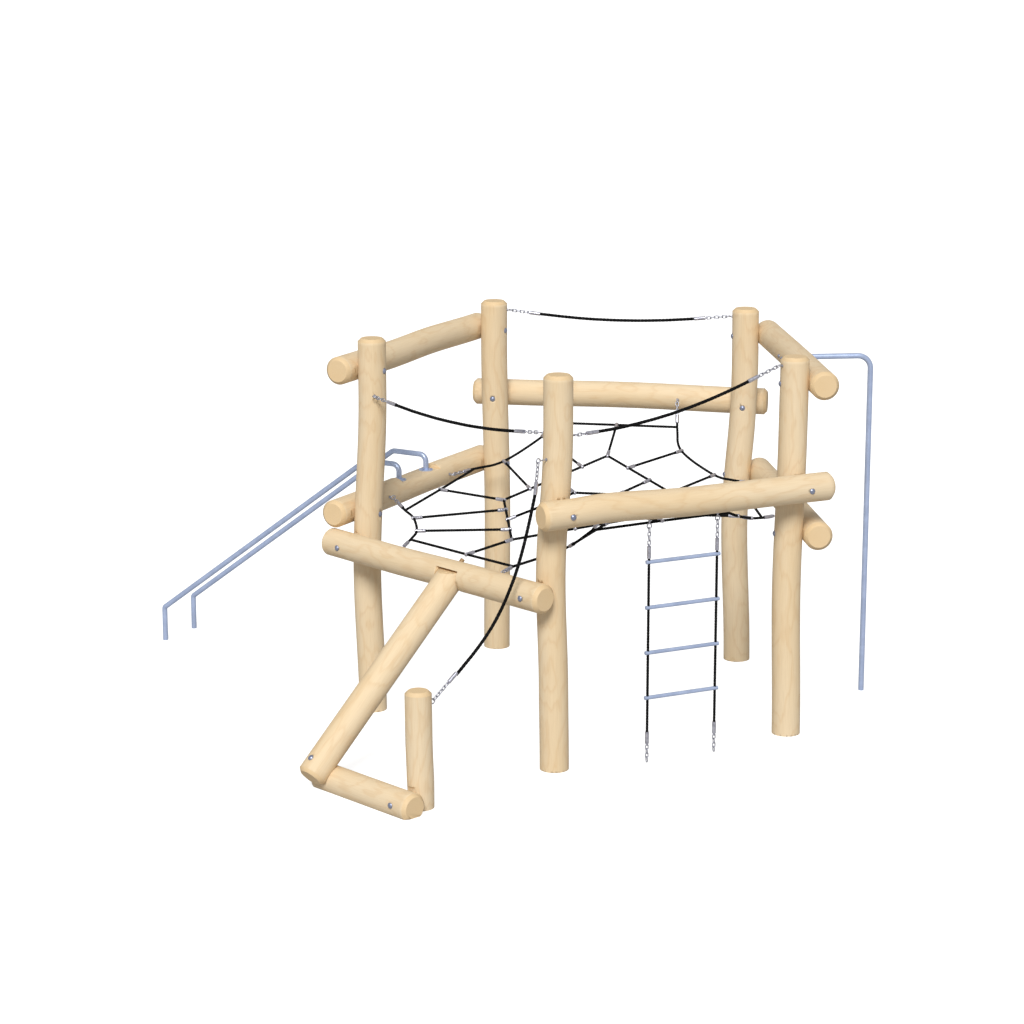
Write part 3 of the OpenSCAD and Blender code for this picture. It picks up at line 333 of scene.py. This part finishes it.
def log_line(node):
    """A log's direction, its [place, centre] stations where no joint cuts it, and its radius."""
    shape = merged(node)
    points = np.array([v.co for v in shape.verts])
    spread = points - points.mean(0)
    long_way = np.linalg.svd(spread, full_matrices=False)[2][0]
    bmesh.ops.dissolve_limit(shape, angle_limit=one_face, verts=shape.verts,
                             edges=shape.edges)
    caps = [f for f in shape.faces if len(f.verts) >= 14 and abs(f.normal.dot(Vector(long_way))) > 0.9]
    cap = max(caps, key=lambda f: abs((np.array(f.calc_center_median()) - points.mean(0)) @ long_way))
    way = np.array(cap.normal)
    shape.free()
    level = points @ way
    stations, radius = [], 0
    for key in np.unique(np.round(level / 2e-4)):
        ring = points[np.abs(level - key * 2e-4) < 3e-4]
        centre = ring.mean(0)
        reach = np.linalg.norm(ring - centre, axis=1)
        if len(ring) == 24 and np.ptp(reach) < 4e-4:
            stations.append((float(centre @ way), centre))
            radius = max(radius, float(reach.max()))
    if not stations:
        across = np.cross(way, (0, 0, 1))
        sides = points @ across
        radius = float(np.ptp(sides)) / 2
        centre = across * (sides.max() + sides.min()) / 2 + np.array((0, 0, points[:, 2].max() - radius))
        stations = [(0.0, centre)]
    return way, stations, radius, (float(level.min()), float(level.max()))


def turned_log(node, seed):
    """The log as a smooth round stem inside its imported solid, which then cuts its joints."""
    way, stations, radius, (low, high) = log_line(node)
    stations.sort(key=lambda s: s[0])
    levels = [s[0] for s in stations]
    offsets = np.array([s[1] - way * s[0] for s in stations])
    places = np.arange(low - log_past_end, high + log_past_end + log_step / 2, log_step)
    middle = np.array([np.interp(places, levels, offsets[:, k]) for k in range(3)]).T
    window = np.ones(ease_over) / ease_over
    padded = np.pad(middle, ((ease_over // 2, ease_over // 2), (0, 0)), mode="edge")
    middle = np.array([np.convolve(padded[:, k], window, mode="valid") for k in range(3)]).T
    across = np.cross(way, (0, 0, 1) if abs(way[2]) < 0.9 else (1, 0, 0))
    across /= np.linalg.norm(across)
    third = np.cross(way, across)
    shape = bmesh.new()
    rings = []
    for place, centre in zip(places, middle):
        ring = []
        for k in range(log_sides):
            angle = math.tau * k / log_sides
            side = across * math.cos(angle) + third * math.sin(angle)
            bulge = noise.noise(Vector((math.cos(angle) + seed, math.sin(angle), place * swell_pace)))
            reach = radius * (log_share + log_swell * bulge)
            ring.append(shape.verts.new(centre + way * place + side * reach))
        rings.append(ring)
    for one, two in zip(rings, rings[1:]):
        for k in range(log_sides):
            nxt = (k + 1) % log_sides
            shape.faces.new((one[k], one[nxt], two[nxt], two[k]))
    shape.faces.new(rings[0][::-1])
    shape.faces.new(rings[-1])
    bmesh.ops.recalc_face_normals(shape, faces=shape.faces)
    mesh = bpy.data.meshes.new(node + "_stem")
    shape.to_mesh(mesh)
    shape.free()
    stem = bpy.data.objects.new(node + "_stem", mesh)
    joints = bpy.data.meshes.new(node + "_joints")
    solid = merged(node)
    solid.to_mesh(joints)
    solid.free()
    cutter = bpy.data.objects.new(node + "_joints", joints)
    for piece in (stem, cutter):
        bpy.context.scene.collection.objects.link(piece)
    cut = stem.modifiers.new("Joints", "BOOLEAN")
    cut.operation = "INTERSECT"
    cut.solver = "EXACT"
    cut.object = cutter
    log = plain_mesh(stem, node + "_log")
    bpy.data.objects.remove(cutter)
    spots = np.array([v.co for v in log.data.vertices])
    level = spots @ way
    centres = np.array([np.interp(level, places, middle[:, k]) for k in range(3)]).T
    beside = spots - centres
    grain = np.stack([beside @ across, beside @ third, level + grain_apart * seed], axis=1)
    kept = log.data.attributes.new("grain", "FLOAT_VECTOR", "POINT")
    kept.data.foreach_set("vector", grain.astype(np.float32).ravel())
    kept = log.data.attributes.new("sawn", "FLOAT", "FACE")
    kept.data.foreach_set("value", [abs(face.normal.dot(Vector(way))) for face in log.data.polygons])
    return log


def log_wood_finish():
    """Peeled wood: yearly rings round a wandering pith come out as long arches along the stem."""
    material, tree, shader, _ = new_material("log_wood", roughness=0.62)
    grain = add_node(tree, "ShaderNodeAttribute", attribute_name="grain").outputs["Vector"]
    parts = add_node(tree, "ShaderNodeSeparateXYZ", {0: grain})
    along = add_node(tree, "ShaderNodeCombineXYZ", {"Z": parts.outputs["Z"]}).outputs[0]
    drift = add_node(tree, "ShaderNodeTexNoise", {"Vector": along, "Scale": pith_pace, "Detail": 1.5})
    centred = add_node(tree, "ShaderNodeVectorMath",
                       {0: drift.outputs["Color"], 1: (0.5, 0.5, 0.5)}, operation="SUBTRACT")
    pith = add_node(tree, "ShaderNodeVectorMath",
                    {0: centred.outputs[0], 1: (pith_wander, pith_wander, 0)}, operation="MULTIPLY")
    beside = add_node(tree, "ShaderNodeVectorMath", {0: grain, 1: pith.outputs[0]}, operation="ADD")
    flat = add_node(tree, "ShaderNodeVectorMath", {0: beside.outputs[0], 1: (1, 1, 0)},
                    operation="MULTIPLY")
    reach = add_node(tree, "ShaderNodeVectorMath", {0: flat.outputs[0]}, operation="LENGTH")
    slow = add_node(tree, "ShaderNodeVectorMath", {0: grain, 1: slow_grain}, operation="MULTIPLY")
    wobble = noise_at(tree, slow.outputs[0], 1.0, detail=3)
    warped = add_node(tree, "ShaderNodeMath", {0: wobble, 1: ring_wobble, 2: reach.outputs["Value"]},
                      operation="MULTIPLY_ADD")
    rings = add_node(tree, "ShaderNodeMath", {0: warped.outputs[0], 1: 1 / ring_pitch},
                     operation="MULTIPLY")
    ring = add_node(tree, "ShaderNodeMath", {0: rings.outputs[0]}, operation="FRACT").outputs[0]
    fine = add_node(tree, "ShaderNodeVectorMath", {0: grain, 1: fine_grain}, operation="MULTIPLY")
    fibre = noise_at(tree, fine.outputs[0], 1.0, detail=3)
    patch = noise_at(tree, slow.outputs[0], 0.45, detail=2)
    ground = ramp_of(tree, patch, [(0.32, wood_warm), (0.62, wood_pale)])
    lines = ramp_of(tree, ring, [(0.0, grey(0.25)), (0.12, grey(0)), (0.62, grey(0.05)),
                                 (0.9, grey(1)), (1.0, grey(0.25))])
    strength = add_node(tree, "ShaderNodeMath", {0: lines, 1: ring_strength}, operation="MULTIPLY")
    ringed = mixed(tree, strength.outputs[0], ground, wood_line)
    shade = ramp_of(tree, fibre, [(0.3, fibre_shade), (0.6, grey(1))])
    streaked = mixed(tree, fibre_share, ringed, shade, blend="MULTIPLY")
    sawn = add_node(tree, "ShaderNodeAttribute", attribute_name="sawn").outputs["Fac"]
    at_end = add_node(tree, "ShaderNodeMapRange",
                      {"Value": sawn, "From Min": 0.3, "From Max": 0.6, "To Max": end_share})
    end = ramp_of(tree, ring, [(0.2, end_pale), (0.8, end_dark)])
    tree.links.new(mixed(tree, at_end.outputs[0], streaked, end), shader.inputs["Base Color"])
    shader.inputs["Specular IOR Level"].default_value = 0.3
    height = add_node(tree, "ShaderNodeMath", {0: fibre, 1: lines}, operation="ADD")
    bump_from(tree, shader, height.outputs[0], strength=0.12, distance=0.0004)
    return material


log_wood = log_wood_finish()
for seed, node in enumerate(LOGS):
    log = turned_log(node, seed)
    log.data.materials.clear()
    log.data.materials.append(log_wood)
    log.data.shade_smooth()
    log.data.set_sharp_from_angle(angle=sharp_edge)
    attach(log, "frame")
    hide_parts(node)

# ---- climbing net ----
# Thinner ropes of the same yarn: five side ropes and five corner ropes that hang from the rails, a
# ring rope inside them, a small inner ring, and radial ropes and spokes between them.
net_diameter = 0.0185
net_lay = 0.115


def rope_lines(node):
    """Middle lines of a node's ropes: the centres of the rings, from one flat end to the other."""
    shape = merged(node)
    bmesh.ops.dissolve_limit(shape, angle_limit=one_face, verts=shape.verts,
                             edges=shape.edges)
    lines, seen = [], set()
    for cap in [f for f in shape.faces if len(f.verts) >= 8]:
        ring = list(cap.verts)
        if ring[0] in seen:
            continue
        line = []
        while ring:
            seen.update(ring)
            line.append(np.mean([v.co for v in ring], axis=0))
            around = {e.other_vert(v) for v in ring for e in v.link_edges}
            ring = [v for v in around if v not in seen]
        lines.append(line)
    shape.free()
    return lines


def eased(line, parts=4):
    """A smooth curve through the points of a line."""
    p = np.array([2 * line[0] - line[1], *line, 2 * line[-1] - line[-2]])
    curve = []
    for k in range(1, len(p) - 2):
        a, b, c, d = p[k - 1:k + 3]
        for t in np.arange(parts) / parts:
            curve.append(0.5 * (2 * b + (c - a) * t + (2 * a - 5 * b + 4 * c - d) * t * t
                                + (3 * b - a - 3 * c + d) * t ** 3))
    return curve + [p[-2]]


net_middle = np.array((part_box("net_inner_ring")[0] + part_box("net_inner_ring")[1]) / 2)


def round_middle(points):
    """Points in order round the middle of the net."""
    return sorted(points, key=lambda p: math.atan2(p[1] - net_middle[1], p[0] - net_middle[0]))


def inward(line):
    """A straight rope's two ends, the outer one first."""
    return sorted((line[0], line[-1]), key=lambda p: -np.linalg.norm((p - net_middle)[:2]))


radials = [inward(line) for line in rope_lines("net_radial_ropes")]
spokes = [inward(line) for line in rope_lines("net_spoke_ropes")]
ring_points = round_middle([line[1] for line in radials] + [line[0] for line in spokes])
inner_points = round_middle([line[1] for line in spokes])
NET_ROPES = (("net_side_ropes", rope_lines("net_side_ropes"), False),
             ("net_corner_ropes", [eased(line) for line in rope_lines("net_corner_ropes")], False),
             ("net_radial_ropes", radials, False), ("net_spoke_ropes", spokes, False),
             ("net_ring_rope", [ring_points], True), ("net_inner_ring", [inner_points], True))
for node, lines, closed in NET_ROPES:
    net_rope = made_along(laid_rope, lines, node + "_laid", black_yarn,
                          {"Diameter": net_diameter, "Lay": net_lay}, closed)
    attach(net_rope, "frame")
    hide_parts(node)

# ---- rope ladder ----
# Two more of the thinner ropes, held down at the foot, pass through four tubular steel rungs.
ladder_lines = rope_lines("ladder_rope_left") + rope_lines("ladder_rope_right")
ladder_ropes = made_along(laid_rope, ladder_lines, "ladder_ropes", black_yarn,
                          {"Diameter": net_diameter, "Lay": net_lay})
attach(ladder_ropes, "ladder")
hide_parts("ladder_rope_left", "ladder_rope_right")

# ---- sleeves of the net ----
# Turned aluminium connectors: a round clamp on the rope that passes, and a sleeve pressed on the
# rope that ends there. Presses leave shallow grooves near each end of a sleeve.
sleeve_radius = 0.013
sleeve_length = 0.060
clamp_half = 0.015
clamp_share = 1.15
alloy_light = (0.660, 0.660, 0.740, 1)
alloy_dark = (0.460, 0.460, 0.530, 1)


def turned_tree(name, profile):
    """Turns a solid along each line, with its radius from (place, share) pairs."""
    tree, given, result = new_tree(name, {"Radius": sleeve_radius})
    lines = add_node(tree, "GeometryNodeMeshToCurve", {"Mesh": given.outputs["Lines"]})
    even = add_node(tree, "GeometryNodeResampleCurve", {"Curve": lines.outputs[0], "Count": 41})
    place = add_node(tree, "GeometryNodeSplineParameter")
    shape = add_node(tree, "ShaderNodeFloatCurve", {"Value": place.outputs["Factor"]})
    curve = shape.mapping.curves[0]
    curve.points[0].location = profile[0]
    curve.points[1].location = profile[-1]
    for spot in profile[1:-1]:
        curve.points.new(*spot)
    shape.mapping.update()
    radius = add_node(tree, "ShaderNodeMath", {0: shape.outputs[0], 1: given.outputs["Radius"]},
                      operation="MULTIPLY")
    outline = add_node(tree, "GeometryNodeCurvePrimitiveCircle", {"Resolution": 24, "Radius": 1.0})
    solid = add_node(tree, "GeometryNodeCurveToMesh",
                     {"Curve": even.outputs[0], "Profile Curve": outline.outputs[0],
                      "Scale": radius.outputs[0], "Fill Caps": True})
    return end_tree(tree, given, result, solid.outputs[0])


def metal_finish(name, light, dark, roughness, metallic, blotch):
    """Bare metal: a cast of lighter and darker blotches under fine handling marks."""
    material, tree, shader, place = new_material(name, roughness, metallic)
    tone = noise_at(tree, place, blotch)
    tree.links.new(ramp_of(tree, tone, [(0.35, dark), (0.65, light)]), shader.inputs["Base Color"])
    marks = noise_at(tree, place, blotch * 9, detail=5)
    low, high = roughness * 0.8, min(1, roughness * 1.3)
    worn = add_node(tree, "ShaderNodeMapRange", {"Value": marks, "To Min": low, "To Max": high})
    tree.links.new(worn.outputs[0], shader.inputs["Roughness"])
    bump_from(tree, shader, marks, strength=0.12, distance=0.0004)
    return material


alloy = metal_finish("alloy", alloy_light, alloy_dark, roughness=0.36, metallic=0.85, blotch=60)
clamp_end = 2 * clamp_half / (clamp_half + sleeve_length)
connector_tree = turned_tree("Connector", [
    (0.0, clamp_share * 0.55), (0.05, clamp_share * 0.85), (clamp_end * 0.5, clamp_share),
    (clamp_end * 0.9, clamp_share * 0.97), (clamp_end, 0.97), (0.62, 1.0), (0.68, 0.93), (0.74, 1.0),
    (0.84, 1.0), (0.89, 0.93), (0.94, 1.0), (1.0, 0.86)])
connector_lines = []
for outer, inner in radials + spokes:
    along = (inner - outer) / np.linalg.norm(inner - outer)
    connector_lines.append([outer - along * clamp_half, outer + along * sleeve_length])
    connector_lines.append([inner + along * clamp_half, inner - along * sleeve_length])
connectors = made_along(connector_tree, connector_lines, "net_turned_connectors", alloy,
                        {"Radius": sleeve_radius})
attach(connectors, "frame")
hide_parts("net_connectors")

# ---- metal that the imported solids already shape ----
# Ferrules, chains, eyebolts, domed bolts and nuts, bent tubes, flanges and rungs.
steel_light = (0.520, 0.620, 0.860, 1)
steel_dark = (0.440, 0.530, 0.750, 1)
chain_light = (0.620, 0.630, 0.700, 1)
chain_dark = (0.380, 0.390, 0.450, 1)
bolt_light = (0.370, 0.400, 0.520, 1)
bolt_dark = (0.270, 0.300, 0.410, 1)
tube_steel = metal_finish("tube_steel", steel_light, steel_dark, roughness=0.34, metallic=0.45,
                          blotch=14)
chain_steel = metal_finish("chain_steel", chain_light, chain_dark, roughness=0.42, metallic=0.85,
                           blotch=90)
bolt_steel = metal_finish("bolt_steel", bolt_light, bolt_dark, roughness=0.38, metallic=0.7,
                          blotch=40)
METAL = ((tube_steel, ["fire_pole", "slide_bar_near", "slide_bar_far", "bar_flanges", "pole_flange",
                       "ladder_rung_1", "ladder_rung_2", "ladder_rung_3", "ladder_rung_4"]),
         (alloy, ["back_rope_ferrules", "left_rope_ferrules", "right_rope_ferrules",
                  "low_rope_ferrules", "ladder_ferrules", "net_ferrules"]),
         (chain_steel, ["back_rope_chains", "left_rope_chains", "right_rope_chains",
                        "low_rope_chains", "ladder_chains", "net_chains", "rope_eyebolts",
                        "net_eyebolts"]),
         (bolt_steel, ["rail_bolts", "rail_cap_nuts", "coach_screw", "pole_bolts",
                       "pole_cap_nuts", "bar_flange_screws"]))
for finish, nodes in METAL:
    for node in nodes:
        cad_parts[node].data.materials.clear()
        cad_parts[node].data.materials.append(finish)

# ---- oak peg ----
# A riven oak peg, darker than the logs, that pins the balance log through its rail.
oak_light = (0.420, 0.270, 0.130, 1)
oak_dark = (0.260, 0.150, 0.065, 1)


def oak_finish():
    """Oak: short dark pores drawn out along the grain."""
    material, tree, shader, place = new_material("oak", roughness=0.6)
    drawn = add_node(tree, "ShaderNodeMapping", {"Vector": place, "Scale": (160, 60, 60)})
    pores = noise_at(tree, drawn.outputs[0], 1.0, detail=4)
    tree.links.new(ramp_of(tree, pores, [(0.4, oak_dark), (0.6, oak_light)]),
                   shader.inputs["Base Color"])
    bump_from(tree, shader, pores, strength=0.3, distance=0.0005)
    return material


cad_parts["balance_peg"].data.materials.clear()
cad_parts["balance_peg"].data.materials.append(oak_finish())

# ---- floor and light ----
# A plain white floor that runs past the view, a pale sky and one wide, soft sun. The glow of the
# floor and sky reaches the camera alone, so that it doesn't light the logs from below.
floor_half = 150
floor_tone = 0.48
sun_energy = 2.85
sun_width = math.radians(20)
sun_turn = (math.radians(48), 0, math.radians(-6))
floor_glow = 0.8
sky_glow = 0.7
sky_fill = 0.36
floor_shape = bmesh.new()
bmesh.ops.create_grid(floor_shape, x_segments=1, y_segments=1, size=floor_half)
floor_mesh = bpy.data.meshes.new("floor")
floor_shape.to_mesh(floor_mesh)
floor_shape.free()
floor = bpy.data.objects.new("floor", floor_mesh)
bpy.context.scene.collection.objects.link(floor)
floor_finish, floor_tree, floor_shader, _ = new_material("floor", roughness=0.9)
floor_shader.inputs["Base Color"].default_value = grey(floor_tone)
floor_shader.inputs["Emission Color"].default_value = grey(1)
ray = add_node(floor_tree, "ShaderNodeLightPath").outputs["Is Camera Ray"]
glow = add_node(floor_tree, "ShaderNodeMath", {0: ray, 1: floor_glow}, operation="MULTIPLY")
floor_tree.links.new(glow.outputs[0], floor_shader.inputs["Emission Strength"])
floor_mesh.materials.append(floor_finish)

world = bpy.data.worlds.new("World")
bpy.context.scene.world = world
bpy.context.scene.view_settings.view_transform = "Standard"
world.use_nodes = True
sky = world.node_tree.nodes["Background"]
sky.inputs["Color"].default_value = grey(1)
ray = add_node(world.node_tree, "ShaderNodeLightPath").outputs["Is Camera Ray"]
glow = add_node(world.node_tree, "ShaderNodeMath", {0: ray, 1: sky_glow, 2: sky_fill},
                operation="MULTIPLY_ADD")
world.node_tree.links.new(glow.outputs[0], sky.inputs["Strength"])
sun_light = bpy.data.lights.new("Sun", "SUN")
sun_light.energy = sun_energy
sun_light.angle = sun_width
sun = bpy.data.objects.new("Sun", sun_light)
sun.rotation_euler = sun_turn
bpy.context.scene.collection.objects.link(sun)
